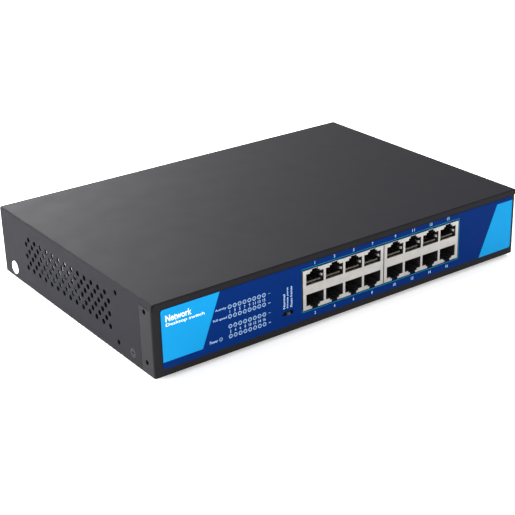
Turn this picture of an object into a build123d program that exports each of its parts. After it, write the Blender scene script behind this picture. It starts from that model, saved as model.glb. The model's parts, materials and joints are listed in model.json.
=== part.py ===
"""Desktop network switch with sixteen sockets, in a folded steel case.

Millimetres. +X runs to the right for someone who faces the front, the front looks along -Y,
+Z is up. The origin is under the middle of the case, on the surface that the feet stand on.
"""
import os

from build123d import *

os.makedirs("parts", exist_ok=True)

# ------------------------------------------------------------------ case
case_width = 268.0
case_depth = 181.0
case_height = 43.5
sheet = 0.8                 # steel of the cover, chassis and front panel
bend_radius = 1.4           # outside radius of the folds
slip = 0.1                  # gap between pieces that slide together
foot_height = 2.5
foot_radius = 6.0
foot_inset = 22.0           # foot centre from the case's edges

panel_return = 13.0         # length of the front panel's side returns
panel_lip = 8.0             # length of its top and bottom returns
cover_lip = 3.7             # height of the cover's side above the returns
seam = 0.2                  # visible seam between cover and front panel

# vents in both side walls: a square lattice turned by 45 degrees
vent_radius = 1.65
vent_pitch = 7.8
vent_rows = 6
vent_columns = 14
vent_centre_back = 96.5     # from the front face
vent_centre_up = 23.2       # from the underside of the case

# rack-ear holes and cover screws, from the front face and the underside
ear_radius = 1.5
ear_pitch = 30.0
ear_back = 7.5
ear_up = 7.0
cover_screw_up = 6.6
cover_screw_front = 22.4
cover_screw_rear = 13.7     # from the rear face
sticker_radius = 4.2
sticker_thickness = 0.12

# ------------------------------------------------------------------ front
label_left_margin = 5.3
label_right_margin = 2.7
label_top = 4.4
label_bottom = 4.2
label_corner = 1.5
label_thickness = 0.25

# sockets: two blocks of two rows and four columns
port_columns = 4
port_pitch = 14.2
port_group_x = 24.75        # middle of both blocks
port_mid_above = 13.2       # middle between the rows, above the main board
port_width = 12.6
port_height = 7.1
port_band = 5.6             # metal between the upper and the lower row
tab_wide = 7.0
tab_wide_height = 1.1
tab_narrow = 4.4
block_margin = 1.5          # metal outside the outer columns' pitch
block_gap = 0.4
block_half_height = 12.35
block_depth = 30.0
block_proud = 0.3           # how far the blocks stand out of the panel
shield_sheet = 0.3
socket_wall_step = 0.3      # how much narrower the plastic is than the metal opening
socket_depth = 15.0
window_gap = 0.3
contact_count = 8
contact_pitch = 1.02
contact_width = 0.4
contact_thickness = 0.3
contact_rise = 1.5

# lamps
led_columns = 8
led_pitch = 3.26
led_rows_above = (19.12, 13.3, 7.3, 1.25)   # above the main board
led_to_mode = 16.3          # last lamp column to the slide switch
power_led_gap = 6.45        # power lamp to the first lamp column
pipe_radius = 0.7
pipe_hole = 0.75
pipe_nest = 2.4             # distance between the pipes' downward runs
pipe_bend = 1.5
holder_depth = 4.5
holder_wall = 1.6

# slide switch with three positions
mode_to_ports = 10.85       # slide switch to the left block
mode_above = 3.2            # above the main board
mode_step = 2.5
knob_width = 2.1
knob_height = 1.8
knob_proud = 1.2
knob_gap = 0.2
mode_body_width = 12.0
mode_body_depth = 5.0
mode_body_height = 6.2
mode_wall = 0.5

# ------------------------------------------------------------------ boards
board_thickness = 1.6
board_top_up = 9.0          # both boards' upper face, from the underside of the case
board_left_margin = 8.3     # left of the power lamp
board_right_margin = 9.25   # right of the right block
board_depth = 76.0
board_front_gap = 0.6
hole_inset = 4.0
screw_radius = 1.45         # M3
screw_hole = 1.6
screw_head = 2.75
screw_head_height = 2.0
screw_length = 6.0
standoff_radius = 2.75
thread_radius = 1.5

power_side_gap = 4.3        # from the chassis flange
power_width = 66.0
power_depth = 64.0
power_rear_gap = 26.5       # from the rear face
insulator_thickness = 0.4

# power inlet of the usual three-pin kind
inlet_offset = 33.0         # from the power board's left edge
power_plug_offset = 42.5    # low-voltage connector, from the power board's left edge
board_plug_offset = 14.47   # low-voltage connector, from the main board's left edge
inlet_up = 22.0
inlet_width = 27.0
inlet_height = 19.5
inlet_body_depth = 19.0
inlet_flange = 1.6
inlet_flange_margin = 1.9
inlet_wall = 1.4
inlet_floor = 3.0
pin_spread = 7.0
pin_offset = 2.0
pin_width = 2.0
pin_height = 4.0
pin_recess = 4.6
pin_tail = 6.0

# ------------------------------------------------------------------ derived
half_width = case_width / 2
front_y = -case_depth / 2
rear_y = case_depth / 2
under_z = foot_height
floor_z = under_z + sheet
roof_z = under_z + case_height
board_z = under_z + board_top_up
board_under = board_z - board_thickness
inner_half = half_width - sheet - slip          # outside of the chassis flanges
block_width = port_columns * port_pitch + 2 * block_margin
block_centres = (port_group_x - (block_width + block_gap) / 2, port_group_x + (block_width + block_gap) / 2)
block_front = front_y - block_proud
mode_x = block_centres[0] - block_width / 2 - mode_to_ports
mode_z = board_z + mode_above
led_xs = [mode_x - led_to_mode - i * led_pitch for i in reversed(range(led_columns))]
power_led_x = led_xs[0] - power_led_gap
row_levels = [board_z + above for above in led_rows_above]
led_points = [(x, z) for z in row_levels for x in led_xs] + [(power_led_x, row_levels[-1])]
mid_z = board_z + port_mid_above
block_top = mid_z + block_half_height
block_low = mid_z - block_half_height
window_low = block_low - window_gap
window_high = block_top + window_gap
label_front = front_y - label_thickness
pipe_front = label_front + 0.05
board_front = front_y + sheet + board_front_gap
board_rear = board_front + board_depth
board_left = power_led_x - board_left_margin
board_right = block_centres[1] + block_width / 2 + board_right_margin
power_left = power_side_gap + sheet - inner_half
power_right = power_left + power_width
power_rear_y = rear_y - power_rear_gap
power_front_y = power_rear_y - power_depth
inlet_x = power_left + inlet_offset
inlet_z = under_z + inlet_up


def corner_box(low, high, mode=Mode.ADD):
    """A box between two opposite corners, in the part that is being built."""
    middle = tuple((a + b) / 2 for a, b in zip(low, high))
    with Locations(middle):
        box = Box(*[b - a for a, b in zip(low, high)], mode=mode)
    return box


def save(builder, name):
    builder.part.label = name
    export_step(builder.part, f"parts/{name}.step")


def port_centres(block_x):
    """The x of the four columns of one block."""
    first = block_x - (port_columns - 1) * port_pitch / 2
    return [first + i * port_pitch for i in range(port_columns)]


def tab_opening(width, step, top):
    """A socket's outline above its floor at y = 0: the main opening and its stepped latch notch."""
    with Locations((0, port_height / 2)):
        Rectangle(width, port_height)
    with Locations((0, port_height + tab_wide_height / 2)):
        Rectangle(tab_wide - step, tab_wide_height)
    with Locations((0, (port_height + top) / 2)):
        Rectangle(tab_narrow - step, top - port_height)


def vent_points():
    """Centres of the vents in (y, z): full rows at the bottom, short rows shifted by half a pitch."""
    points = []
    for row in range(vent_rows):
        count = vent_columns - row % 2
        z = under_z + vent_centre_up + (row - (vent_rows - 1) / 2) * vent_pitch / 2
        for column in range(count):
            y = front_y + vent_centre_back + (column - (count - 1) / 2) * vent_pitch
            points.append((y, z))
    return points


def ear_points(rows_back):
    """Centres of the rack-ear holes in (y, z), for the named distances behind the front face."""
    return [(front_y + back, under_z + up) for back in rows_back for up in (ear_up, ear_up + ear_pitch)]


front_ears = ear_points([ear_back])
rear_ears = ear_points([ear_back + ear_pitch])
cover_screw_points = [
    (front_y + cover_screw_front, under_z + cover_screw_up),
    (rear_y - cover_screw_rear, under_z + cover_screw_up),
]
side_planes = [
    Plane(origin=(side * half_width, y, z), x_dir=(0, 1, 0), z_dir=(side, 0, 0))
    for side in (-1, 1)
    for y, z in cover_screw_points
]
countersink_depth = screw_head - screw_radius


def countersunk_cut(gap):
    """The seat of a countersunk screw, at the open part's current location, from its surface down."""
    Cone(screw_radius + gap, screw_head + gap, countersink_depth,
         align=(Align.CENTER, Align.CENTER, Align.MAX), mode=Mode.SUBTRACT)
    Cylinder(screw_radius + gap, 4 * sheet, align=(Align.CENTER, Align.CENTER, Align.MAX), mode=Mode.SUBTRACT)


# ------------------------------------------------------------------ cover
with BuildPart() as top_cover:
    with BuildSketch(Plane.XZ.offset(-rear_y)) as cover_outside:
        with Locations((0, under_z + case_height / 2)):
            Rectangle(case_width, case_height)
        fillet(cover_outside.vertices().group_by(Axis.Y)[-1], bend_radius)
    extrude(amount=case_depth)
    with BuildSketch(Plane.XZ.offset(-rear_y)) as cover_inside:
        with Locations((0, under_z + (case_height - sheet) / 2)):
            Rectangle(case_width - 2 * sheet, case_height - sheet)
        fillet(cover_inside.vertices().group_by(Axis.Y)[-1], bend_radius - sheet)
    extrude(amount=case_depth, mode=Mode.SUBTRACT)
    corner_box(
        (-half_width, front_y, under_z),
        (half_width, front_y + panel_return + seam, roof_z - cover_lip),
        mode=Mode.SUBTRACT,
    )
    with BuildSketch(Plane.YZ):
        with Locations(*vent_points()):
            Circle(vent_radius)
        with Locations(*rear_ears):
            Circle(ear_radius)
    extrude(amount=half_width, both=True, mode=Mode.SUBTRACT)
    for plane in side_planes:
        with Locations(plane):
            countersunk_cut(slip)
save(top_cover, "top_cover")

# ------------------------------------------------------------------ chassis
flange_low = 10.5           # height of the side flanges under the vents
flange_gap = 3.0            # roof above their front and rear tabs
front_tab = 43.0
rear_tab = 19.0
ground_x = inlet_x + 32.0
ground_z = under_z + 14.0
ground_hole = 2.1

with BuildPart() as bottom_chassis:
    chassis_front = front_y + sheet + slip
    corner_box((-inner_half, chassis_front, under_z), (inner_half, rear_y, floor_z))
    corner_box((-inner_half, rear_y - sheet, under_z), (inner_half, rear_y, roof_z - sheet - slip))
    for side in (-1, 1):
        x_out, x_in = side * inner_half, side * (inner_half - sheet)
        low_x, high_x = min(x_out, x_in), max(x_out, x_in)
        corner_box((low_x, chassis_front, under_z), (high_x, rear_y, under_z + flange_low))
        corner_box((low_x, chassis_front, under_z), (high_x, front_y + front_tab, roof_z - flange_gap))
        corner_box((low_x, rear_y - rear_tab, under_z), (high_x, rear_y, roof_z - flange_gap))
    outer_fold = bottom_chassis.edges().filter_by(Axis.X).group_by(Axis.Z)[0].sort_by(Axis.Y)[-1]
    fillet(outer_fold, sheet)
    rear_corners = bottom_chassis.edges().filter_by(Axis.Y).group_by(Axis.Z)[-1].sort_by(Axis.X)
    fillet([rear_corners[0], rear_corners[-1]], bend_radius)
    with BuildSketch(Plane.YZ):
        with Locations(*front_ears, *rear_ears):
            Circle(ear_radius)
    extrude(amount=half_width, both=True, mode=Mode.SUBTRACT)
    for plane in side_planes:
        with Locations(plane):
            countersunk_cut(slip)
    with BuildSketch(Plane.XZ.offset(-rear_y)):
        with Locations((inlet_x, inlet_z)):
            Rectangle(inlet_width + 2 * slip, inlet_height + 2 * slip)
        with Locations((ground_x, ground_z)):
            Circle(ground_hole)
    extrude(amount=2 * sheet, mode=Mode.SUBTRACT)
save(bottom_chassis, "bottom_chassis")

# ------------------------------------------------------------------ front panel
panel_top = roof_z - sheet - slip
return_top = roof_z - cover_lip - seam
group_half = block_width + block_gap / 2
slot_half = mode_step + knob_width / 2 + knob_gap
slot_high = knob_height / 2 + knob_gap

with BuildPart() as front_panel:
    corner_box((-half_width, front_y, under_z), (half_width, front_y + panel_return, return_top))
    corner_box((-inner_half, front_y, return_top), (inner_half, front_y + sheet, panel_top))
    corner_box(
        (-half_width + sheet, front_y + sheet, under_z),
        (half_width - sheet, front_y + panel_return, return_top),
        mode=Mode.SUBTRACT,
    )
    upright_corners = front_panel.edges().filter_by(Axis.Z).group_by(Axis.Y)[0].filter_by(
        lambda edge: abs(edge.center().X) > half_width - sheet / 2
    )
    fillet(upright_corners, bend_radius)
    top_corners = front_panel.edges().filter_by(Axis.Y).group_by(Axis.Z)[-1]
    fillet(top_corners, bend_radius)
    lip_half = inner_half - sheet - slip - 1
    corner_box((-lip_half, front_y + sheet, floor_z), (lip_half, front_y + panel_lip, floor_z + sheet))
    corner_box((-lip_half, front_y + sheet, panel_top - sheet), (lip_half, front_y + panel_lip, panel_top))
    corner_box(
        (port_group_x - group_half - window_gap, front_y, window_low),
        (port_group_x + group_half + window_gap, front_y + sheet, window_high),
        mode=Mode.SUBTRACT,
    )
    with BuildSketch(Plane.XZ.offset(-front_y)):
        with Locations(*led_points):
            Circle(pipe_hole)
        with Locations((mode_x, mode_z)):
            Rectangle(2 * slot_half, 2 * slot_high)
    extrude(amount=-sheet, mode=Mode.SUBTRACT)
    with BuildSketch(Plane.YZ):
        with Locations(*front_ears):
            Circle(ear_radius)
    extrude(amount=half_width, both=True, mode=Mode.SUBTRACT)
save(front_panel, "front_panel")

label_width = case_width - label_left_margin - label_right_margin
label_height = case_height - label_top - label_bottom
label_x = (label_left_margin - label_right_margin) / 2
label_z = under_z + label_bottom + label_height / 2

with BuildPart() as front_label:
    with BuildSketch(Plane.XZ.offset(-front_y)):
        with Locations((label_x, label_z)):
            RectangleRounded(label_width, label_height, label_corner)
        with Locations((port_group_x, (window_low + window_high) / 2)):
            Rectangle(2 * (group_half + window_gap), window_high - window_low, mode=Mode.SUBTRACT)
        with Locations(*led_points):
            Circle(pipe_hole, mode=Mode.SUBTRACT)
        with Locations((mode_x, mode_z)):
            Rectangle(2 * slot_half, 2 * slot_high, mode=Mode.SUBTRACT)
    extrude(amount=label_thickness)
save(front_label, "front_label")

# ------------------------------------------------------------------ stacked socket blocks
upper_floor = mid_z + port_band / 2
lower_roof = mid_z - port_band / 2
tab_top = block_top - upper_floor
insert_fit = 0.05
insert_front = block_front + shield_sheet
insert_back = block_front + block_depth - shield_sheet
insert_top = block_top - shield_sheet - insert_fit
insert_foot_front = front_y + sheet + window_gap


def socket_profiles(block_x, plane, step, amount):
    """Cuts the eight socket outlines of one block; the lower row is the upper one mirrored."""
    for flip, level in ((False, upper_floor), (True, lower_roof)):
        for x in port_centres(block_x):
            with BuildSketch(plane) as outline:
                with BuildSketch(Plane.XY, mode=Mode.PRIVATE) as one_socket:
                    tab_opening(port_width - step, step, tab_top)
                shape = mirror(one_socket.sketch, about=Plane.XZ, mode=Mode.PRIVATE) if flip else one_socket.sketch
                add(Pos(x, level) * shape)
            extrude(outline.sketch, amount=amount, mode=Mode.SUBTRACT)


def jack_shield(block_x):
    with BuildPart() as shield:
        corner_box(
            (block_x - block_width / 2, block_front, block_low),
            (block_x + block_width / 2, block_front + block_depth, block_top),
        )
        corner_box(
            (block_x - block_width / 2 + shield_sheet, insert_front, block_low),
            (block_x + block_width / 2 - shield_sheet, insert_back, block_top - shield_sheet),
            mode=Mode.SUBTRACT,
        )
        socket_profiles(block_x, Plane.XZ.offset(-block_front), 0, -shield_sheet)
    return shield


def jack_insert(block_x):
    insert_half = block_width / 2 - shield_sheet - insert_fit
    with BuildPart() as insert:
        corner_box(
            (block_x - insert_half, insert_front + insert_fit, block_low),
            (block_x + insert_half, insert_back - insert_fit, insert_top),
        )
        corner_box(
            (block_x - insert_half, insert_foot_front, board_z),
            (block_x + insert_half, insert_back - insert_fit, block_low),
        )
        socket_profiles(block_x, Plane.XZ.offset(-insert_front), socket_wall_step, -socket_depth)
    return insert


def contact_outline(level, up):
    """A contact seen from the side: it lies on the socket's floor at the mouth and rises inwards."""
    start = insert_front + 0.6
    foot = start + 1.2
    rise = foot + 7.5
    end = insert_front + socket_depth - 0.6
    t = contact_thickness
    points = [
        (start, 0), (foot, 0), (rise, contact_rise - t), (end, contact_rise - t),
        (end, contact_rise), (rise, contact_rise), (foot, t), (start, t),
    ]
    return [(y, level + up * z) for y, z in points]


def jack_contacts(block_x):
    planes = [
        Plane.YZ.offset(x + (i - (contact_count - 1) / 2) * contact_pitch - contact_width / 2)
        for x in port_centres(block_x)
        for i in range(contact_count)
    ]
    with BuildPart() as contacts:
        for level, up in ((upper_floor, 1), (lower_roof, -1)):
            with BuildSketch(*planes):
                with BuildLine():
                    Polyline(*contact_outline(level, up), close=True)
                make_face()
            extrude(amount=contact_width)
    return contacts


for side, block_x in zip(("left", "right"), block_centres):
    save(jack_shield(block_x), f"jack_shield_{side}")
    save(jack_insert(block_x), f"jack_insert_{side}")
    save(jack_contacts(block_x), f"jack_contacts_{side}")

# ------------------------------------------------------------------ main board
board_mid_x = mode_x - 10.4      # between the lamps and the slide switch
board_holes = [
    (x, y)
    for x in (board_left + hole_inset, board_mid_x, board_right - hole_inset)
    for y in (board_front + 12, board_rear - hole_inset)
]

with BuildPart() as main_board:
    corner_box((board_left, board_front, board_under), (board_right, board_rear, board_z))
    with Locations(*[(x, y, board_under) for x, y in board_holes]):
        Cylinder(screw_hole, 4 * board_thickness, mode=Mode.SUBTRACT)
save(main_board, "main_board")

# ------------------------------------------------------------------ screws and standoffs
def pan_screw(head_radius, head_height, shank_radius, length):
    """A pan-head screw with a cross recess, its head's underside at z = 0 and its shank downwards."""
    recess = 0.6 * head_height
    with BuildPart() as screw:
        Cylinder(head_radius, head_height, align=(Align.CENTER, Align.CENTER, Align.MIN))
        fillet(screw.edges().group_by(Axis.Z)[-1], 0.4 * head_height)
        corner_box((-0.5 * head_radius, -0.25, head_height - recess), (0.5 * head_radius, 0.25, head_height),
                   mode=Mode.SUBTRACT)
        corner_box((-0.25, -0.5 * head_radius, head_height - recess), (0.25, 0.5 * head_radius, head_height),
                   mode=Mode.SUBTRACT)
        Cylinder(shank_radius, length, align=(Align.CENTER, Align.CENTER, Align.MAX))
    return screw.part


def flat_screw(head_radius, shank_radius, length):
    """A countersunk screw with a cross recess, its flat top at z = 0 and its shank downwards."""
    with BuildPart() as screw:
        Cone(shank_radius, head_radius, head_radius - shank_radius, align=(Align.CENTER, Align.CENTER, Align.MAX))
        Cylinder(shank_radius, length, align=(Align.CENTER, Align.CENTER, Align.MAX))
        corner_box((-0.5 * head_radius, -0.25, -0.8), (0.5 * head_radius, 0.25, 0), mode=Mode.SUBTRACT)
        corner_box((-0.25, -0.5 * head_radius, -0.8), (0.25, 0.5 * head_radius, 0), mode=Mode.SUBTRACT)
    return screw.part


power_holes = [
    (x, y)
    for x in (power_left + hole_inset, power_right - hole_inset)
    for y in (power_front_y + hole_inset, power_rear_y - hole_inset)
]
all_holes = board_holes + power_holes

with BuildPart() as board_standoffs:
    with Locations(*[(x, y, floor_z) for x, y in all_holes]):
        Cylinder(standoff_radius, board_under - floor_z, align=(Align.CENTER, Align.CENTER, Align.MIN))
        Cylinder(thread_radius, board_under - floor_z, align=(Align.CENTER, Align.CENTER, Align.MIN),
                 mode=Mode.SUBTRACT)
save(board_standoffs, "board_standoffs")

board_screw = pan_screw(screw_head, screw_head_height, screw_radius, screw_length)
with BuildPart() as board_screws:
    with Locations(*[(x, y, board_z) for x, y in all_holes]):
        add(board_screw)
save(board_screws, "board_screws")

cover_screw = flat_screw(screw_head, screw_radius, screw_length)
with BuildPart() as cover_screws:
    with Locations(*side_planes):
        add(cover_screw)
save(cover_screws, "cover_screws")

with BuildPart() as seal_sticker:
    with BuildSketch(Plane.YZ.offset(-half_width)):
        with Locations(cover_screw_points[1]):
            Circle(sticker_radius)
    extrude(amount=-sticker_thickness)
save(seal_sticker, "seal_sticker")

with BuildPart() as rubber_feet:
    with BuildSketch(Plane.XY):
        with GridLocations(case_width - 2 * foot_inset, case_depth - 2 * foot_inset, 2, 2):
            Circle(foot_radius)
    extrude(amount=foot_height)
    fillet(rubber_feet.edges().group_by(Axis.Z)[0], 0.6)
save(rubber_feet, "rubber_feet")

# ------------------------------------------------------------------ lamps
chip_height = 0.6
chip_gap = 0.2
side_led_length = 1.2
holder_front = front_y + sheet + slip
straight_end = holder_front + holder_depth + 2.0


def bent_pipe(level, drop_y):
    """A light guide from the label back to drop_y and down to the lamp on the board."""
    with BuildPart() as pipe:
        with BuildLine() as route:
            FilletPolyline(
                (0, pipe_front, level), (0, drop_y, level), (0, drop_y, board_z + chip_height + chip_gap),
                radius=pipe_bend,
            )
        with BuildSketch(Plane(origin=(0, pipe_front, level), z_dir=(0, 1, 0))):
            Circle(pipe_radius)
        sweep()
    return pipe.part


drops = [straight_end + pipe_nest * (len(row_levels) - 1 - i) for i in range(len(row_levels) - 1)]

with BuildPart() as light_pipes:
    for level, drop_y in zip(row_levels, drops):
        pipe = bent_pipe(level, drop_y)
        with Locations(*[(x, 0, 0) for x in led_xs]):
            add(pipe)
    with BuildSketch(Plane.XZ.offset(-pipe_front)):
        with Locations(*[(x, row_levels[-1]) for x in led_xs + [power_led_x]]):
            Circle(pipe_radius)
    extrude(amount=pipe_front - straight_end)
save(light_pipes, "light_pipes")

with BuildPart() as status_leds:
    with Locations(*[(x, y, board_z + chip_height / 2) for x in led_xs for y in drops]):
        Box(0.8, 1.6, chip_height)
    with Locations(*[
        (x, straight_end + chip_gap + side_led_length / 2, board_z + 1.0) for x in led_xs + [power_led_x]
    ]):
        Box(1.6, side_led_length, 2.0)
save(status_leds, "status_leds")

with BuildPart() as pipe_holder:
    corner_box(
        (led_xs[0] - holder_wall, holder_front, board_z),
        (led_xs[-1] + holder_wall, holder_front + holder_depth, row_levels[0] + holder_wall),
    )
    corner_box(
        (power_led_x - holder_wall, holder_front, board_z),
        (led_xs[0] - holder_wall, holder_front + holder_depth, row_levels[-1] + holder_wall),
    )
    with BuildSketch(Plane.XZ.offset(-holder_front)):
        with Locations(*led_points):
            Circle(pipe_hole)
    extrude(amount=-holder_depth, mode=Mode.SUBTRACT)
    corner_box(
        (power_led_x - holder_wall, holder_front, board_under),
        (led_xs[-1] + holder_wall, board_front - slip, board_z),
    )
save(pipe_holder, "pipe_holder")

# ------------------------------------------------------------------ slide switch
mode_front = front_y + sheet + slip
cavity_half = mode_body_width / 2 - mode_wall
carrier_half = cavity_half - mode_step - knob_gap
carrier_gap = 0.25

with BuildPart() as mode_switch_body:
    corner_box(
        (mode_x - mode_body_width / 2, mode_front, board_z),
        (mode_x + mode_body_width / 2, mode_front + mode_body_depth, board_z + mode_body_height),
    )
    corner_box(
        (mode_x - cavity_half, mode_front + mode_wall, board_z + mode_wall),
        (mode_x + cavity_half, mode_front + mode_body_depth - mode_wall, board_z + mode_body_height - mode_wall),
        mode=Mode.SUBTRACT,
    )
    corner_box(
        (mode_x - slot_half, mode_front, mode_z - slot_high),
        (mode_x + slot_half, mode_front + mode_wall, mode_z + slot_high),
        mode=Mode.SUBTRACT,
    )
save(mode_switch_body, "mode_switch_body")

with BuildPart() as mode_slider:
    corner_box(
        (mode_x - carrier_half, mode_front + mode_wall + carrier_gap, board_z + mode_wall + carrier_gap),
        (mode_x + carrier_half, mode_front + mode_body_depth - mode_wall - carrier_gap,
         board_z + mode_body_height - mode_wall - carrier_gap),
    )
    corner_box(
        (mode_x - knob_width / 2, label_front - knob_proud, mode_z - knob_height / 2),
        (mode_x + knob_width / 2, mode_front + mode_wall + carrier_gap, mode_z + knob_height / 2),
    )
    knob_face = mode_slider.faces().sort_by(Axis.Y)[0]
    chamfer(knob_face.edges(), 0.25)
save(mode_slider, "mode_slider")

# ------------------------------------------------------------------ parts on the main board
chip_row_y = board_rear - 14.5
chip_side = 20.0
chip_thickness = 1.6
phy_side = 14.0
phy_offset = 48.0
sink_width = 34.0
sink_depth = 25.0
sink_base = 2.0
sink_height = 12.0
sink_fins = 9
fin_thickness = 1.0
magnetic_width = 12.2
magnetic_depth = 15.5
magnetic_height = 5.8
magnetic_y = insert_back + 10.5

with BuildPart() as switch_chip:
    with Locations((port_group_x, chip_row_y, board_z + chip_thickness / 2)):
        Box(chip_side, chip_side, chip_thickness)
    chamfer(switch_chip.edges().group_by(Axis.Z)[-1], 0.3)
save(switch_chip, "switch_chip")

with BuildPart() as chip_heatsink:
    sink_z = board_z + chip_thickness
    with Locations((port_group_x, chip_row_y, sink_z + sink_base / 2)):
        Box(sink_width, sink_depth, sink_base)
    fin_pitch = (sink_width - fin_thickness) / (sink_fins - 1)
    with Locations((port_group_x, chip_row_y, sink_z + (sink_base + sink_height) / 2)):
        with GridLocations(fin_pitch, 0, sink_fins, 1):
            Box(fin_thickness, sink_depth, sink_height - sink_base)
save(chip_heatsink, "chip_heatsink")

with BuildPart() as phy_chips:
    with Locations(*[(port_group_x + s * phy_offset, chip_row_y, board_z + chip_thickness / 2) for s in (-1, 1)]):
        Box(phy_side, phy_side, chip_thickness)
    chamfer(phy_chips.edges().group_by(Axis.Z)[-1], 0.3)
save(phy_chips, "phy_chips")

with BuildPart() as magnetics:
    centres = port_centres(block_centres[0]) + port_centres(block_centres[1])
    with Locations(*[(x, magnetic_y, board_z + magnetic_height / 2) for x in centres]):
        Box(magnetic_width, magnetic_depth, magnetic_height)
    chamfer(magnetics.edges().group_by(Axis.Z)[-1], 0.4)
save(magnetics, "magnetics")

crystal_x, crystal_y = port_group_x - 27.0, chip_row_y + 6
with BuildPart() as crystal:
    with BuildSketch(Plane.XY.offset(board_z)):
        with Locations((crystal_x, crystal_y)):
            SlotOverall(11.4, 4.7, rotation=90)
    extrude(amount=3.6)
    fillet(crystal.edges().group_by(Axis.Z)[-1], 0.5)
save(crystal, "crystal")

board_cap_radius = 3.15
board_cap_height = 7.7
board_cap_base = 0.8
with BuildPart() as board_capacitors:
    cap_spots = [(mode_x + 2.1 - 9.0 * i, board_rear - 26.0) for i in range(4)]
    with Locations(*[(x, y, board_z) for x, y in cap_spots]):
        Box(6.6, 6.6, board_cap_base, align=(Align.CENTER, Align.CENTER, Align.MIN))
        Cylinder(board_cap_radius, board_cap_height, align=(Align.CENTER, Align.CENTER, Align.MIN))
    fillet(board_capacitors.edges().group_by(Axis.Z)[-1], 0.5)
save(board_capacitors, "board_capacitors")

with BuildPart() as power_inductors:
    with Locations(*[(mode_x + x, board_rear - 13.0, board_z + 1.6) for x in (2.1, 12.1)]):
        Box(7.0, 7.0, 3.2)
    fillet(power_inductors.edges().filter_by(Axis.Z), 1.0)
save(power_inductors, "power_inductors")

# ------------------------------------------------------------------ power supply
with BuildPart() as insulator_sheet:
    corner_box(
        (power_left - 1, power_front_y - 1, floor_z),
        (power_right + 1, power_rear_y + 1, floor_z + insulator_thickness),
    )
    with Locations(*[(x, y, floor_z) for x, y in power_holes]):
        Cylinder(standoff_radius + 0.5, 4 * insulator_thickness, mode=Mode.SUBTRACT)
save(insulator_sheet, "insulator_sheet")

with BuildPart() as power_board:
    corner_box((power_left, power_front_y, board_under), (power_right, power_rear_y, board_z))
    with Locations(*[(x, y, board_under) for x, y in power_holes]):
        Cylinder(screw_hole, 4 * board_thickness, mode=Mode.SUBTRACT)
save(power_board, "power_board")

transformer_x, transformer_y = power_left + 40, power_front_y + 24
with BuildPart() as transformer:
    with Locations((transformer_x, transformer_y, board_z + 1.5)):
        Box(25, 22, 3)                                    # bobbin foot
    with Locations((transformer_x, transformer_y, board_z + 11.5)):
        Box(17, 20, 17)                                   # winding
    fillet(transformer.edges().filter_by(Axis.Z).group_by(Axis.Z)[-1], 3)
    with Locations((transformer_x, transformer_y, board_z + 12)):
        Box(25.5, 12, 18)                                 # ferrite core
save(transformer, "transformer")

bulk_x, bulk_y = power_left + 18, power_front_y + 37
with BuildPart() as bulk_capacitor:
    with Locations((bulk_x, bulk_y, board_z)):
        Cylinder(8.0, 25.0, align=(Align.CENTER, Align.CENTER, Align.MIN))
    fillet(bulk_capacitor.edges().group_by(Axis.Z)[-1], 1.0)
save(bulk_capacitor, "bulk_capacitor")

with BuildPart() as output_capacitors:
    with Locations(*[(power_right - 8, power_front_y + 12.0 + 11.5 * i, board_z) for i in range(3)]):
        Cylinder(5.0, 20.0, align=(Align.CENTER, Align.CENTER, Align.MIN))
    fillet(output_capacitors.edges().group_by(Axis.Z)[-1], 0.8)
save(output_capacitors, "output_capacitors")

with BuildPart() as power_heatsinks:
    corner_box((power_left + 1.5, power_front_y + 9, board_z), (power_left + 3.5, power_front_y + 55, board_z + 26))
    corner_box((power_left + 1.5, power_front_y + 9, board_z + 24), (power_left + 9.5, power_front_y + 55, board_z + 26))
save(power_heatsinks, "power_heatsinks")

with BuildPart() as filter_choke:
    choke_x, choke_y = power_left + 42, power_front_y + 43
    with BuildSketch(Plane.XZ.offset(-(choke_y - 4))):
        with Locations((choke_x, board_z + 9.5)):
            Circle(8.5)
            Circle(4.0, mode=Mode.SUBTRACT)
    extrude(amount=-8)
    fillet(filter_choke.edges(), 1.2)
    corner_box((choke_x - 8, choke_y - 5, board_z), (choke_x + 8, choke_y + 5, board_z + 2))
save(filter_choke, "filter_choke")

with BuildPart() as film_capacitor:
    corner_box(
        (power_left + 29, power_rear_y - 14, board_z), (power_left + 47, power_rear_y - 6, board_z + 14)
    )
    fillet(film_capacitor.edges().filter_by(Axis.Z), 0.6)
save(film_capacitor, "film_capacitor")

fuse_y = power_rear_y - 5
with BuildPart() as fuse:
    with BuildSketch(Plane.YZ.offset(power_left + 7)):
        with Locations((fuse_y, board_z + 4.5)):
            Circle(2.6)
    extrude(amount=16)
    for x in (power_left + 7, power_left + 18):
        corner_box((x, fuse_y - 3.2, board_z), (x + 5, fuse_y + 3.2, board_z + 5))
save(fuse, "fuse")

# ------------------------------------------------------------------ power inlet
inlet_back = rear_y - inlet_body_depth
inlet_face = rear_y + inlet_flange
cavity_width = inlet_width - 2 * inlet_wall
cavity_height = inlet_height - 2 * inlet_wall
pin_spots = [
    (inlet_x - pin_spread, inlet_z - pin_offset),
    (inlet_x, inlet_z + pin_offset),
    (inlet_x + pin_spread, inlet_z - pin_offset),
]
pin_back = inlet_back - pin_tail

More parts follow.
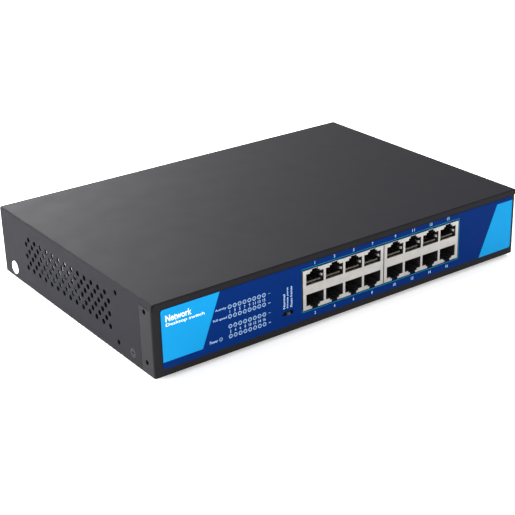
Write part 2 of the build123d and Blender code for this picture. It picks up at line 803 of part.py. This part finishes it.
with BuildPart() as ac_inlet:
    corner_box(
        (inlet_x - inlet_width / 2, inlet_back, inlet_z - inlet_height / 2),
        (inlet_x + inlet_width / 2, rear_y, inlet_z + inlet_height / 2),
    )
    with BuildSketch(Plane.XZ.offset(-inlet_face)):
        with Locations((inlet_x, inlet_z)):
            RectangleRounded(
                inlet_width + 2 * inlet_flange_margin, inlet_height + 2 * inlet_flange_margin, 1.5
            )
    extrude(amount=inlet_flange)
    with BuildSketch(Plane.XZ.offset(-inlet_face)) as inlet_mouth:
        with Locations((inlet_x, inlet_z)):
            Rectangle(cavity_width, cavity_height)
        chamfer(inlet_mouth.vertices().group_by(Axis.Y)[-1], 4.5)
    extrude(amount=inlet_face - inlet_back - inlet_floor, mode=Mode.SUBTRACT)
    for side in (-1, 1):                                  # spring latches behind the rear wall
        with Locations((inlet_x + side * (inlet_width / 2 + 0.4), rear_y - sheet - slip - 2.5, inlet_z)):
            Box(0.8, 5.0, 6.0)
    with BuildSketch(Plane.XZ.offset(-inlet_back)):
        with Locations(*pin_spots):
            Rectangle(pin_width, pin_height)
    extrude(amount=-inlet_floor, mode=Mode.SUBTRACT)
save(ac_inlet, "ac_inlet")

with BuildPart() as inlet_pins:
    with BuildSketch(Plane.XZ.offset(-pin_back)):
        with Locations(*pin_spots):
            Rectangle(pin_width, pin_height)
    extrude(amount=-(inlet_face - pin_recess - pin_back))
    chamfer(inlet_pins.faces().group_by(Axis.Y)[-1].edges(), 0.4)
save(inlet_pins, "inlet_pins")

# ------------------------------------------------------------------ earth point
ring_thickness = 0.8
nut_height = 3.2
ground_shank = 1.95
ring_y = rear_y - sheet - ring_thickness

ground_bolt = pan_screw(3.8, 1.6, ground_shank, 8.0)
with BuildPart() as ground_screw:
    with Locations(Plane(origin=(ground_x, rear_y, ground_z), z_dir=(0, 1, 0))):
        add(ground_bolt)
save(ground_screw, "ground_screw")

with BuildPart() as ground_nut:
    with BuildSketch(Plane.XZ.offset(-ring_y)):
        with Locations((ground_x, ground_z)):
            RegularPolygon(4.0, 6)
            Circle(ground_shank + 0.05, mode=Mode.SUBTRACT)
    extrude(amount=nut_height)
save(ground_nut, "ground_nut")

# ------------------------------------------------------------------ wires, held at both ends
wire_radius = 0.9
wire_y = pin_back - 4.0
wire_pitch = 2.5
connector_height = 7.0
connector_depth = 6.0
arch_height = 12.0
arch_radius = 6.0
dc_power_x = power_left + power_plug_offset      # each connector keeps its place on its own board
dc_board_x = board_left + board_plug_offset
dc_power_y = power_front_y + 5.0
dc_board_y = board_rear - 6.0
dc_steps = [(i - 1.5) * wire_pitch for i in range(4)]


def wire(points, bend, radius=wire_radius):
    """A round wire along straight runs joined by arcs."""
    direction = Vector(*points[1]) - Vector(*points[0])
    with BuildPart() as tube:
        with BuildLine():
            FilletPolyline(*points, radius=bend)
        with BuildSketch(Plane(origin=points[0], z_dir=direction)):
            Circle(radius)
        sweep()
    return tube.part


with BuildPart() as mains_wires:
    for x, z in (pin_spots[0], pin_spots[2]):
        add(wire([(x, pin_back, z), (x, wire_y, z), (x, wire_y, board_z)], 3.0))
save(mains_wires, "mains_wires")

ring_wire_end = ground_z + 7.0
with BuildPart() as earth_wire:
    with BuildSketch(Plane.XZ.offset(-(rear_y - sheet))):
        with Locations((ground_x, ground_z + (ring_wire_end - ground_z) / 2)):
            Rectangle(3.0, ring_wire_end - ground_z)
        with Locations((ground_x, ground_z)):
            Circle(3.8)
            Circle(ground_hole, mode=Mode.SUBTRACT)
    extrude(amount=ring_thickness)
    earth_x, earth_z = pin_spots[1]
    high_z = earth_z + 8.0
    wire_end_y = ring_y - wire_radius + 0.3
    add(wire(
        [
            (earth_x, pin_back, earth_z), (earth_x, wire_y, earth_z), (earth_x + 18, wire_y - 1, high_z),
            (ground_x - 2, wire_y + 8, high_z), (ground_x, wire_end_y, high_z - 1),
            (ground_x, wire_end_y, ring_wire_end - 1.5),
        ],
        2.5,
    ))
save(earth_wire, "earth_wire")

for name, steps in (("dc_wires_red", dc_steps[:2]), ("dc_wires_black", dc_steps[2:])):
    with BuildPart() as dc_wires:
        for step in steps:
            low = board_z + connector_height
            power_x, board_x = dc_power_x + step, dc_board_x + step
            add(wire(
                [
                    (power_x, dc_power_y, low), (power_x, dc_power_y, low + arch_height),
                    (board_x, dc_board_y, low + arch_height), (board_x, dc_board_y, low),
                ],
                arch_radius,
            ))
    save(dc_wires, name)

for name, x, y in (("power_connector", dc_power_x, dc_power_y), ("board_connector", dc_board_x, dc_board_y)):
    with BuildPart() as connector:
        with Locations((x, y, board_z + connector_height / 2)):
            Box(4 * wire_pitch + 2.5, connector_depth, connector_height)
        chamfer(connector.edges().group_by(Axis.Z)[-1], 0.4)
    save(connector, name)
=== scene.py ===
import json
import math

import bmesh
import bpy
from mathutils import Matrix, Vector


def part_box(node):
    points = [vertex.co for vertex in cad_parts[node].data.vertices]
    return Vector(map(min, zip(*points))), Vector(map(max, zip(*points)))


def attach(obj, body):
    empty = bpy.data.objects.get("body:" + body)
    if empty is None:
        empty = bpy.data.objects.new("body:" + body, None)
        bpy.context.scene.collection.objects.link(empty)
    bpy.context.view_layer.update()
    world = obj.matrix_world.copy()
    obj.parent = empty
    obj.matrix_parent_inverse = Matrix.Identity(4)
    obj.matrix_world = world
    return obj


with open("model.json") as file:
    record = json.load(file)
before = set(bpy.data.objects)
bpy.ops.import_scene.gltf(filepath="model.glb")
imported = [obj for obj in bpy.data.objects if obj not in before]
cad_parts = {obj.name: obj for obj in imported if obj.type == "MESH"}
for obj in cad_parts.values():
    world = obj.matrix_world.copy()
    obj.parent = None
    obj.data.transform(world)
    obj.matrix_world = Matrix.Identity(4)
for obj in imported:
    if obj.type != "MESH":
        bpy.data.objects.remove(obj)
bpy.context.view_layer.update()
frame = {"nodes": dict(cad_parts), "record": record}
scene = bpy.context.scene
scene.view_settings.view_transform = "Standard"
MM = 0.001


# ------------------------------------------------------------------ materials
class Surface:
    """A Principled material whose patterns are given in millimetres of the object's own frame."""

    def __init__(self, name, colour, roughness, metallic=0.0, **sockets):
        self.material = bpy.data.materials.new(name)
        self.material.use_nodes = True
        self.tree = self.material.node_tree
        self.shader = self.tree.nodes["Principled BSDF"]
        self.colour = colour
        self.set("Base Color", (*colour, 1))
        self.set("Roughness", roughness)
        self.set("Metallic", metallic)
        for socket, value in sockets.items():
            self.set(socket.replace("_", " "), value)
        self.place = self.node("ShaderNodeTexCoord").outputs["Object"]
        self.height = None

    def set(self, socket, value):
        self.shader.inputs[socket].default_value = value

    def node(self, kind, **values):
        made = self.tree.nodes.new(kind)
        for key, value in values.items():
            setattr(made, key, value)
        return made

    def link(self, a, b):
        self.tree.links.new(a, b)

    def noise(self, size_mm, detail=3.0, stretch=(1, 1, 1)):
        """Noise whose blotches are about size_mm across, drawn out along an axis by stretch."""
        mapping = self.node("ShaderNodeMapping")
        mapping.inputs["Scale"].default_value = [1 / (size_mm * MM * s) for s in stretch]
        self.link(self.place, mapping.inputs["Vector"])
        noise = self.node("ShaderNodeTexNoise")
        noise.inputs["Scale"].default_value = 1.0
        noise.inputs["Detail"].default_value = detail
        self.link(mapping.outputs["Vector"], noise.inputs["Vector"])
        return noise.outputs["Fac"]

    def ramp(self, value, stops):
        """Colours at places from 0 to 1 along value."""
        ramp = self.node("ShaderNodeValToRGB")
        points = ramp.color_ramp.elements
        while len(points) < len(stops):
            points.new(0.5)
        for point, (at, colour) in zip(points, stops):
            point.position = at
            point.color = (*colour, 1)
        self.link(value, ramp.inputs["Fac"])
        return ramp.outputs["Color"]

    def mottle(self, size_mm, amount, stretch=(1, 1, 1), detail=3.0):
        """Slow changes of the base colour, by amount up and down."""
        dark = [c * (1 - amount) for c in self.colour]
        light = [min(1, c * (1 + amount)) for c in self.colour]
        blotches = self.ramp(self.noise(size_mm, detail, stretch), [(0.3, dark), (0.7, light)])
        self.link(blotches, self.shader.inputs["Base Color"])
        return self

    def polish(self, size_mm, low, high, stretch=(1, 1, 1)):
        """Roughness that changes between low and high."""
        spread = self.node("ShaderNodeMapRange")
        spread.inputs["From Min"].default_value = 0.3
        spread.inputs["From Max"].default_value = 0.7
        spread.inputs["To Min"].default_value = low
        spread.inputs["To Max"].default_value = high
        self.link(self.noise(size_mm, 2.0, stretch), spread.inputs["Value"])
        self.link(spread.outputs["Result"], self.shader.inputs["Roughness"])
        return self

    def relief(self, value, depth_mm, strength):
        """A bump on top of those already there."""
        bump = self.node("ShaderNodeBump")
        bump.inputs["Strength"].default_value = strength
        bump.inputs["Distance"].default_value = depth_mm * MM
        self.link(value, bump.inputs["Height"])
        if self.height:
            self.link(self.height, bump.inputs["Normal"])
        self.height = bump.outputs["Normal"]
        self.link(self.height, self.shader.inputs["Normal"])
        return self

    def grain(self, size_mm, depth_mm, strength=0.5, stretch=(1, 1, 1)):
        return self.relief(self.noise(size_mm, 2.0, stretch), depth_mm, strength)


def powder_coat(name, colour, roughness):
    """Painted steel with a fine, nearly flat grain."""
    made = Surface(name, colour, roughness, Specular_IOR_Level=0.08).mottle(70, 0.02)
    made.polish(14, roughness - 0.015, roughness + 0.015)
    return made.grain(0.9, 0.02, 0.12)


def plated(name, colour, roughness, stretch=(1, 14, 1)):
    """Bare or plated metal with brush marks drawn out along stretch."""
    made = Surface(name, colour, roughness, 1.0).mottle(5, 0.07)
    made.polish(0.35, roughness - 0.08, roughness + 0.1, stretch)
    return made.grain(0.22, 0.008, 0.3, stretch)


def moulded(name, colour, roughness):
    """Moulded plastic."""
    made = Surface(name, colour, roughness).mottle(4, 0.12)
    made.polish(2.5, roughness - 0.06, roughness + 0.06)
    return made.grain(0.3, 0.012, 0.35)


def printed(name, colour, roughness=0.42):
    """Printed film or ink."""
    made = Surface(name, colour, roughness, Specular_IOR_Level=0.02).mottle(9, 0.03)
    made.polish(5, roughness - 0.04, roughness + 0.04)
    return made.grain(0.35, 0.004, 0.2)


def circuit(name, colour):
    """Solder mask with lighter tracks."""
    made = Surface(name, colour, 0.35, Coat_Weight=0.3)
    cells = made.node("ShaderNodeTexVoronoi", feature="DISTANCE_TO_EDGE")
    cells.inputs["Scale"].default_value = 1 / (3.4 * MM)
    made.link(made.place, cells.inputs["Vector"])
    track = [min(1, c * 1.9) for c in colour]
    tracks = made.ramp(cells.outputs["Distance"], [(0.03, track), (0.09, colour)])
    made.link(tracks, made.shader.inputs["Base Color"])
    made.relief(cells.outputs["Distance"], 0.03, 0.3)
    return made.polish(3, 0.28, 0.42)


def banded(name, colour, second, width_mm, axis="Z"):
    """Stripes of a second colour across axis."""
    made = Surface(name, colour, 0.4)
    bands = made.node("ShaderNodeTexWave", wave_type="BANDS", bands_direction=axis)
    bands.inputs["Scale"].default_value = 1 / (width_mm * MM * 3.2)
    bands.inputs["Distortion"].default_value = 0.6
    made.link(made.place, bands.inputs["Vector"])
    stripes = made.ramp(bands.outputs["Fac"], [(0.1, second), (0.5, colour)])
    made.link(stripes, made.shader.inputs["Base Color"])
    return made.relief(bands.outputs["Fac"], 0.05, 0.4).polish(3, 0.3, 0.48)


steel = powder_coat("powder_coat", (0.0060, 0.0058, 0.0086), 0.64)
# a copy of the case's powder coat with a lighter base for the front panel: painted light on the front face
front_coat_painted_light = powder_coat("powder_coat_front_painted_light", (0.0090, 0.0086, 0.0100), 0.5)
light_guide = Surface(
    "light_guide", (0.030, 0.085, 0.200), 0.2, Transmission_Weight=0.25, IOR=1.49, Specular_IOR_Level=0.2
)
light_guide.mottle(2, 0.15).polish(1.5, 0.12, 0.24).grain(0.5, 0.006, 0.25)
black_zinc = Surface("black_zinc", (0.007, 0.007, 0.008), 0.45, Specular_IOR_Level=0.15)
black_zinc.mottle(1.5, 0.2).polish(0.8, 0.38, 0.55).grain(0.3, 0.01, 0.3)
seal_paper = Surface("seal_paper", (0.86, 0.87, 0.88), 0.55).mottle(2, 0.02).grain(0.25, 0.008, 0.3)
foot_rubber = Surface("foot_rubber", (0.016, 0.016, 0.016), 0.8).mottle(3, 0.2).grain(0.35, 0.04, 0.6)
ferrite = Surface("ferrite", (0.060, 0.060, 0.064), 0.7).mottle(0.6, 0.35, detail=6.0)
ferrite.grain(0.4, 0.05, 0.6)
fuse_glass = Surface("fuse_glass", (0.86, 0.92, 0.92), 0.08, Transmission_Weight=0.6, IOR=1.5)
fuse_glass.mottle(3, 0.04).polish(2, 0.05, 0.12).grain(0.8, 0.005, 0.2)

by_slot = {
    "case_steel": steel,
    "label_print": printed("label_film", (0.0004, 0.0175, 0.118), 0.38),
    "jack_metal": plated("jack_plating", (0.40, 0.385, 0.368), 0.36),
    "jack_plastic": moulded("jack_nylon", (0.013, 0.013, 0.014), 0.45),
    "contact_gold": plated("contact_plating", (0.86, 0.64, 0.28), 0.22, (1, 6, 1)),
    "light_guide": light_guide,
    "led_body": moulded("lamp_body", (0.86, 0.86, 0.78), 0.3),
    "black_plastic": moulded("black_moulding", (0.018, 0.018, 0.019), 0.42),
    "switch_metal": plated("tinned_steel", (0.13, 0.13, 0.13), 0.42, (10, 1, 1)),
    "circuit_board": circuit("solder_mask", (0.012, 0.115, 0.045)),
    "zinc_steel": plated("zinc_plating", (0.70, 0.71, 0.73), 0.3, (1, 1, 4)),
    "brass_plain": plated("plain_brass", (0.74, 0.58, 0.30), 0.26, (1, 8, 1)),
    "black_screw": black_zinc,
    "paper_white": seal_paper,
    "foot_rubber": foot_rubber,
    "chip_epoxy": moulded("chip_epoxy", (0.020, 0.020, 0.022), 0.6),
    "heatsink_aluminium": plated("fin_aluminium", (0.74, 0.75, 0.77), 0.4, (1, 1, 12)),
    "capacitor_sleeve": banded("shrunk_sleeve", (0.020, 0.026, 0.060), (0.14, 0.15, 0.19), 9, "X"),
    "capacitor_can": plated("capacitor_can", (0.78, 0.78, 0.80), 0.28, (1, 1, 10)),
    "insulation_film": printed("insulation_film", (0.09, 0.09, 0.09), 0.5),
    "transformer_tape": banded("winding_tape", (0.66, 0.46, 0.05), (0.50, 0.33, 0.03), 1.6),
    "ferrite": ferrite,
    "film_box": moulded("film_box", (0.62, 0.50, 0.05), 0.3),
    "fuse_glass": fuse_glass,
    "nylon_white": moulded("white_nylon", (0.78, 0.77, 0.70), 0.42),
    "wire_red": moulded("red_sleeve", (0.50, 0.012, 0.012), 0.34),
    "wire_black": moulded("black_sleeve", (0.014, 0.014, 0.014), 0.34),
    "wire_brown": moulded("brown_sleeve", (0.16, 0.060, 0.022), 0.34),
    "wire_green": banded("earth_sleeve", (0.040, 0.280, 0.030), (0.66, 0.55, 0.03), 5, "X"),
}

ink_words = printed("ink_pale", (0.36, 0.52, 0.72))
ink_title = printed("ink_white", (0.90, 0.94, 0.97))
ink_ring = printed("ink_ring", (0.32, 0.48, 0.72))
ink_blue = Surface("ink_light_blue", (0.005, 0.243, 0.530), 0.4, Specular_IOR_Level=0.03)
ink_blue.mottle(60, 0.07).polish(6, 0.36, 0.44).grain(0.35, 0.004, 0.2)
ink_green = printed("ink_green", (0.015, 0.27, 0.20))
# near black, for the painted shade in the gap left of the sockets
painted_gap_shade = printed("painted_gap_shade", (0.004, 0.004, 0.005))

for part in frame["record"]["subparts"]:
    node = frame["nodes"][part["node"]]
    # the front panel takes the lighter copy of the case coat: painted light on its front face
    chosen = front_coat_painted_light if part["node"] == "front_panel" else by_slot[part["material_slot"]]
    node.data.materials.clear()
    node.data.materials.append(chosen.material)


# ------------------------------------------------------------------ mesh tools
def make_piece(name, mesh, surface, body="case"):
    """Turns mesh into a piece that rides a body."""
    bmesh.ops.recalc_face_normals(mesh, faces=mesh.faces)
    data = bpy.data.meshes.new(name)
    mesh.to_mesh(data)
    mesh.free()
    data.materials.append(surface.material)
    piece = bpy.data.objects.new(name, data)
    scene.collection.objects.link(piece)
    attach(piece, body)


def plate(mesh, outline, back, front):
    """A closed flat piece: outline is (x, z) points, between two depths on Y."""
    rear = [mesh.verts.new((x, back, z)) for x, z in outline]
    fore = [mesh.verts.new((x, front, z)) for x, z in outline]
    mesh.faces.new(rear)
    mesh.faces.new(fore)
    for i in range(len(outline)):
        j = (i + 1) % len(outline)
        mesh.faces.new((rear[i], rear[j], fore[j], fore[i]))


def bar(mesh, low_x, low_z, high_x, high_z, back, front):
    """A closed flat rectangle between two depths on Y."""
    plate(mesh, [(low_x, low_z), (high_x, low_z), (high_x, high_z), (low_x, high_z)], back, front)


def band(mesh, outer, inner, back, front):
    """A closed ring between two outlines with the same number of points."""
    sides = ((outer, back), (outer, front), (inner, front), (inner, back))
    loops = [[mesh.verts.new((x, y, z)) for x, z in line] for line, y in sides]
    count = len(outer)
    for k in range(4):
        a, b = loops[k], loops[(k + 1) % 4]
        for i in range(count):
            j = (i + 1) % count
            mesh.faces.new((a[i], a[j], b[j], b[i]))


def circle(x, z, radius, count=28):
    """The points of a circle, as (x, z)."""
    turns = [2 * math.pi * i / count for i in range(count)]
    return [(x + radius * math.cos(a), z + radius * math.sin(a)) for a in turns]


def quarter(x, z, radius, start, steps=5):
    """The points of a quarter circle round (x, z), from start degrees on."""
    turns = [math.radians(start + 90 * i / steps) for i in range(steps + 1)]
    return [(x + radius * math.cos(a), z + radius * math.sin(a)) for a in turns]


def rounded(low_x, low_z, high_x, high_z, radius):
    """The points of a rectangle with round corners, as (x, z)."""
    line = quarter(high_x - radius, high_z - radius, radius, 0)
    line += quarter(low_x + radius, high_z - radius, radius, 90)
    line += quarter(low_x + radius, low_z + radius, radius, 180)
    line += quarter(high_x - radius, low_z + radius, radius, 270)
    return line


def lettering(mesh, text, low, high, back, front, weight, upright=False):
    """Text fitted into the box low..high of (x, z), as closed letters. upright reads upward.

    weight thickens the strokes, as a share of the letters' own size.
    """
    curve = bpy.data.curves.new("letters", "FONT")
    curve.body = text
    curve.extrude = 0.05
    curve.offset = weight
    curve.resolution_u = 3
    holder = bpy.data.objects.new("letters", curve)
    scene.collection.objects.link(holder)
    bpy.context.view_layer.update()
    shape = bpy.data.meshes.new_from_object(holder.evaluated_get(bpy.context.evaluated_depsgraph_get()))
    bpy.data.objects.remove(holder)
    bpy.data.curves.remove(curve)
    if upright:
        shape.transform(Matrix.Rotation(math.radians(90), 4, "Z"))
    points = [v.co for v in shape.vertices]
    least = Vector([min(p[i] for p in points) for i in range(3)])
    most = Vector([max(p[i] for p in points) for i in range(3)])
    scale = [(high[i] - low[i]) / (most[i] - least[i]) for i in range(2)]
    for vertex in shape.vertices:
        across, up, outward = vertex.co
        x = low[0] + (across - least.x) * scale[0]
        z = low[1] + (up - least.y) * scale[1]
        vertex.co = (x, front if outward > 0 else back, z)
    part = bmesh.new()
    part.from_mesh(shape)
    bmesh.ops.remove_doubles(part, verts=part.verts, dist=2e-6)
    part.to_mesh(shape)
    part.free()
    mesh.from_mesh(shape)
    bpy.data.meshes.remove(shape)


# ------------------------------------------------------------------ places on the front
label_low, label_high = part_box("front_label")
pipes_low, pipes_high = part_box("light_pipes")
knob_low, knob_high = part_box("mode_slider")
shields = [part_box("jack_shield_left"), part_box("jack_shield_right")]
shield_front = shields[0][0].y
ports_low = Vector((shields[0][0].x, 0, shields[0][0].z))
ports_high = Vector((shields[1][1].x, 0, shields[1][1].z))
mode_x = (knob_low.x + knob_high.x) / 2

# ink lies on the label, and a second layer lies on the first
face = label_low.y
print_back, print_front = face + 0.01 * MM, face - 0.03 * MM
over_back, over_front = face - 0.02 * MM, face - 0.045 * MM

pipe_radius = 0.7 * MM
lamp_pitch = 3.26 * MM
row_drops = (0, 5.82, 11.82, 17.87)
last_lamp = pipes_high.x - pipe_radius
lamp_xs = [last_lamp - i * lamp_pitch for i in range(7, -1, -1)]
power_x = pipes_low.x + pipe_radius
top_row = pipes_high.z - pipe_radius
rows = [top_row - drop * MM for drop in row_drops]

block_margin = 1.5 * MM
port_xs = []
for low, high in shields:
    pitch = (high.x - low.x - 2 * block_margin) / 4
    port_xs += [low.x + block_margin + pitch * (i + 0.5) for i in range(4)]

# ------------------------------------------------------------------ light blue fields of the label
edge = 0.15 * MM
corner = 1.5 * MM
left, right = label_low.x + edge, label_high.x - edge
top, bottom = label_high.z - edge, label_low.z + edge
left_foot, left_head = 25.0 * MM, 37.2 * MM
right_foot, right_head = 27.5 * MM, 13.3 * MM
left_field_bottom = label_low.z + 4.1 * MM
right_field_top = top - 2.3 * MM

mesh = bmesh.new()
shape = [(left, left_field_bottom), (left + left_foot, left_field_bottom), (left + left_head, top)]
shape += quarter(left + corner, top - corner, corner, 90)
plate(mesh, shape, print_back, print_front)
shape = [(right - right_head, right_field_top), (right - right_foot, bottom)]
shape += quarter(right - corner, bottom + corner, corner, 270)
shape += [(right, right_field_top)]
plate(mesh, shape, print_back, print_front)
make_piece("label_light_blue", mesh, ink_blue)

# ------------------------------------------------------------------ outline of the sockets, painted shade in the gap at their left and painted shadow on the seam between the blocks
line = 0.22 * MM
outline_corner = 0.8 * MM
low_x, high_x = ports_low.x - 0.9 * MM, ports_high.x + 0.9 * MM
low_z, high_z = ports_low.z - 1.0 * MM, ports_high.z + 1.3 * MM
mesh = bmesh.new()
outer = rounded(low_x, low_z, high_x, high_z, outline_corner)
inner = rounded(low_x + line, low_z + line, high_x - line, high_z - line, outline_corner - line)
band(mesh, outer, inner, print_back, print_front)
make_piece("port_outline", mesh, ink_green)

# a black bar over the label left of the sockets: painted shade in the gap between the label's cutout and
# the shields
gap_left, gap_right = low_x + 0.02 * MM, ports_low.x - 0.32 * MM
mesh = bmesh.new()
bar(mesh, gap_left, low_z + corner, gap_right, high_z - corner, over_back, over_front)
make_piece("port_gap_shade", mesh, painted_gap_shade)

# a black strip over the seam between the two socket blocks: painted shadow in the narrow gap there
seam_lap = 0.16 * MM
seam_inset = 0.3 * MM
seam_proud = 0.02 * MM
seam_left, seam_right = shields[0][1].x - seam_lap, shields[1][0].x + seam_lap
seam_low, seam_high = ports_low.z + seam_inset, ports_high.z - seam_inset
mesh = bmesh.new()
bar(mesh, seam_left, seam_low, seam_right, seam_high, shield_front + seam_proud, shield_front - seam_proud)
make_piece("port_seam_shadow", mesh, moulded("seam_painted_shadow", (0.010, 0.010, 0.010), 0.6))

# ------------------------------------------------------------------ lamp rings
ring_radius = 1.2 * MM
power_ring_radius = 1.08 * MM
ring_bore = 0.88 * MM
mesh = bmesh.new()
for z in rows:
    for x in lamp_xs:
        band(mesh, circle(x, z, ring_radius), circle(x, z, ring_bore), print_back, print_front)
power_ring = circle(power_x, rows[3], power_ring_radius)
band(mesh, power_ring, circle(power_x, rows[3], ring_bore), print_back, print_front)
make_piece("lamp_rings", mesh, ink_ring)

# ------------------------------------------------------------------ printed words and numbers
letter_width = 0.62     # of a character's height
digit_squeeze = 0.82
one_squeeze = 0.24      # a lone 1 is only a bar
fine_weight = 0.006


def number_pair(mesh, odd, x, odd_z, even_z, height, weight):
    """An odd number at one height and the even number after it at another."""
    for number, z in ((odd, odd_z), (odd + 1, even_z)):
        text = str(number)
        squeeze = one_squeeze if number == 1 else digit_squeeze
        half = letter_width * height * len(text) * squeeze / 2
        low, high = (x - half, z - height / 2), (x + half, z + height / 2)
        lettering(mesh, text, low, high, print_back, print_front, weight)


# text, its lower and upper edge below the label's top, its right end, weight
titles = (("Network", 7.75, 3.9, 19.0, 0.018), ("Desktop switch", 10.9, 8.7, 27.0, 0.008))
title_left = left + 2.8 * MM
mesh = bmesh.new()
for text, low_drop, high_drop, end, weight in titles:
    low = (title_left, label_high.z - low_drop * MM)
    high = (left + end * MM, label_high.z - high_drop * MM)
    lettering(mesh, text, low, high, over_back, over_front, weight)
make_piece("title_print", mesh, ink_title)

mesh = bmesh.new()
lamp_digit = 1.7 * MM
odd_z, even_z = (rows[0] + rows[1]) / 2, (rows[2] + rows[3]) / 2
for i, x in enumerate(lamp_xs):
    number_pair(mesh, 2 * i + 1, x, odd_z, even_z, lamp_digit, fine_weight)

# text, the lamp that it belongs to, its start and end left of the lamp, half its height
lamp_words = (
    ("Activity", lamp_xs[0], rows[0], 9.4, 2.25, 0.85),
    ("Full speed", lamp_xs[0], rows[1], 11.0, 2.1, 0.85),
    ("Power", power_x, rows[3], 7.3, 2.0, 0.9),
)
for text, lamp_x, z, start, end, half in lamp_words:
    low = (lamp_x - start * MM, z - half * MM)
    high = (lamp_x - end * MM, z + half * MM)
    lettering(mesh, text, low, high, print_back, print_front, fine_weight)

dash_left = lamp_xs[-1] + 2.9 * MM
dash_right = dash_left + 1.5 * MM
thin, thick = 0.07 * MM, 0.15 * MM
for z, half in zip(rows, (thin, thick, thin, thick)):
    bar(mesh, dash_left, z - half, dash_right, z + half, print_back, print_front)

port_digit = 1.9 * MM
number_gap = 3.3 * MM
odd_z, even_z = ports_high.z + number_gap, ports_low.z - number_gap
for i, x in enumerate(port_xs):
    number_pair(mesh, 2 * i + 1, x, odd_z, even_z, port_digit, 0.01)

# text, its place from the knob's middle, its length
mode_words = (("Normal", -2.5, 9.1), ("Private ports", 0, 12.7), ("Pause frames", 2.5, 12.7))
mode_words_low = rows[3] + 5.1 * MM
half_column = 0.75 * MM
for text, shift, length in mode_words:
    x = mode_x + shift * MM
    low, high = (x - half_column, mode_words_low), (x + half_column, mode_words_low + length * MM)
    lettering(mesh, text, low, high, print_back, print_front, 0.02, upright=True)
make_piece("front_words", mesh, ink_words)

# ------------------------------------------------------------------ earthing springs of the sockets
socket_half = 6.3 * MM
spring_z = ports_high.z - 6.1 * MM
spring_front = shield_front + 1.0 * MM
spring_length = 4.2 * MM
spring_half = 0.75 * MM
spring_bulge = 0.95 * MM
spring_sheet = 0.16 * MM
stations = 9
mesh = bmesh.new()
for x in port_xs:
    wall = x + socket_half
    sections = []
    for i in range(stations):
        t = i / (stations - 1)
        bulge = spring_bulge * math.sin(math.pi * t)
        y = spring_front + spring_length * t
        low, high = spring_z - spring_half, spring_z + spring_half
        near, far = wall - bulge, wall - bulge - spring_sheet
        corners = ((near, low), (near, high), (far, high), (far, low))
        sections.append([mesh.verts.new((at, y, z)) for at, z in corners])
    for a, b in zip(sections, sections[1:]):
        for i in range(4):
            j = (i + 1) % 4
            mesh.faces.new((a[i], a[j], b[j], b[i]))
    mesh.faces.new(sections[0])
    mesh.faces.new(sections[-1])
make_piece("earthing_springs", mesh, by_slot["jack_metal"])

# ------------------------------------------------------------------ guide combs under the upper contacts
contact_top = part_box("jack_contacts_left")[1].z
contact_pitch = 1.02 * MM
comb_low, comb_root, comb_tip = contact_top - 0.6 * MM, contact_top - 0.35 * MM, contact_top + 0.05 * MM
comb_front = shield_front + 1.6 * MM
comb_back = comb_front + 0.7 * MM
comb_half = 5.1 * MM
slot_half = 0.3 * MM
mesh = bmesh.new()
for x in port_xs:
    outline = [(x + comb_half, comb_low), (x - comb_half, comb_low), (x - comb_half, comb_tip)]
    for i in range(8):
        slot_x = x + (i - 3.5) * contact_pitch
        near, far = slot_x - slot_half, slot_x + slot_half
        outline += [(near, comb_tip), (near, comb_root), (far, comb_root), (far, comb_tip)]
    outline.append((x + comb_half, comb_tip))
    plate(mesh, outline, comb_back, comb_front)
make_piece("contact_combs", mesh, moulded("comb_grey", (0.13, 0.125, 0.125), 0.4))

# ------------------------------------------------------------------ earth mark on the rear wall
rear_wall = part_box("bottom_chassis")[1].y
screw_low, screw_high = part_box("ground_screw")
mark_x, mark_z = screw_high.x + 5.5 * MM, (screw_low.z + screw_high.z) / 2
# half width, lower edge and height: the stem, then three bars, each shorter and lower
strokes = [(0.3, 0.9, 2.4)] + [(2.1 - 0.65 * i, 0.75 - 0.75 * i, 0.32) for i in range(3)]
mesh = bmesh.new()
for i, (half, up, tall) in enumerate(strokes):
    low_x, high_x = mark_x - half * MM, mark_x + half * MM
    low_z, high_z = mark_z + up * MM, mark_z + (up + tall) * MM
    proud = (0.03 + 0.004 * i) * MM
    bar(mesh, low_x, low_z, high_x, high_z, rear_wall - 0.01 * MM, rear_wall + proud)
make_piece("earth_mark", mesh, ink_title)

# ------------------------------------------------------------------ floor, lights, camera
mesh = bmesh.new()
bmesh.ops.create_grid(mesh, x_segments=2, y_segments=2, size=20)
data = bpy.data.meshes.new("floor")
mesh.to_mesh(data)
mesh.free()
floor = bpy.data.objects.new("floor", data)
scene.collection.objects.link(floor)
floor_glow = dict(Emission_Color=(1, 1, 1, 1), Emission_Strength=0.35)
floor_white = Surface("floor_white", (0.93, 0.93, 0.93), 0.7, **floor_glow)
floor.data.materials.append(floor_white.mottle(900, 0.01).material)
floor.location.z = -0.2 * MM

world = bpy.data.worlds.new("studio")
scene.world = world
world.use_nodes = True
world.node_tree.nodes["Background"].inputs["Color"].default_value = (1, 1, 1, 1)
world.node_tree.nodes["Background"].inputs["Strength"].default_value = 1.0


def soft_light(name, place, target, size, power):
    lamp = bpy.data.lights.new(name, "AREA")
    lamp.size = size
    lamp.energy = power
    holder = bpy.data.objects.new(name, lamp)
    holder.location = place
    holder.rotation_euler = (Vector(target) - Vector(place)).to_track_quat("-Z", "Y").to_euler()
    scene.collection.objects.link(holder)


soft_light("back", (0.30, 1.85, 0.75), (-0.08, 0.06, 0.04), 0.9, 52)
soft_light("left", (-1.4, 0.8, 0.6), (-0.1, 0.05, 0), 0.8, 74)
soft_light("front", (-0.3, -1.6, 0.8), (0, -0.1, 0.02), 1.2, 8)

camera = bpy.data.objects.new("camera", bpy.data.cameras.new("camera"))
scene.collection.objects.link(camera)
camera.location = (-0.42098, -0.59602, 0.32662)
aim = Vector((-0.02673, -0.03498, 0.02425))
facing = (aim - camera.location).to_track_quat("-Z", "Y").to_matrix().to_4x4()
camera.rotation_euler = (facing @ Matrix.Rotation(math.radians(-1.607), 4, "Z")).to_euler()
camera.data.sensor_width = 36
camera.data.lens = 87.19
camera.data.clip_start = 0.01
scene.camera = camera
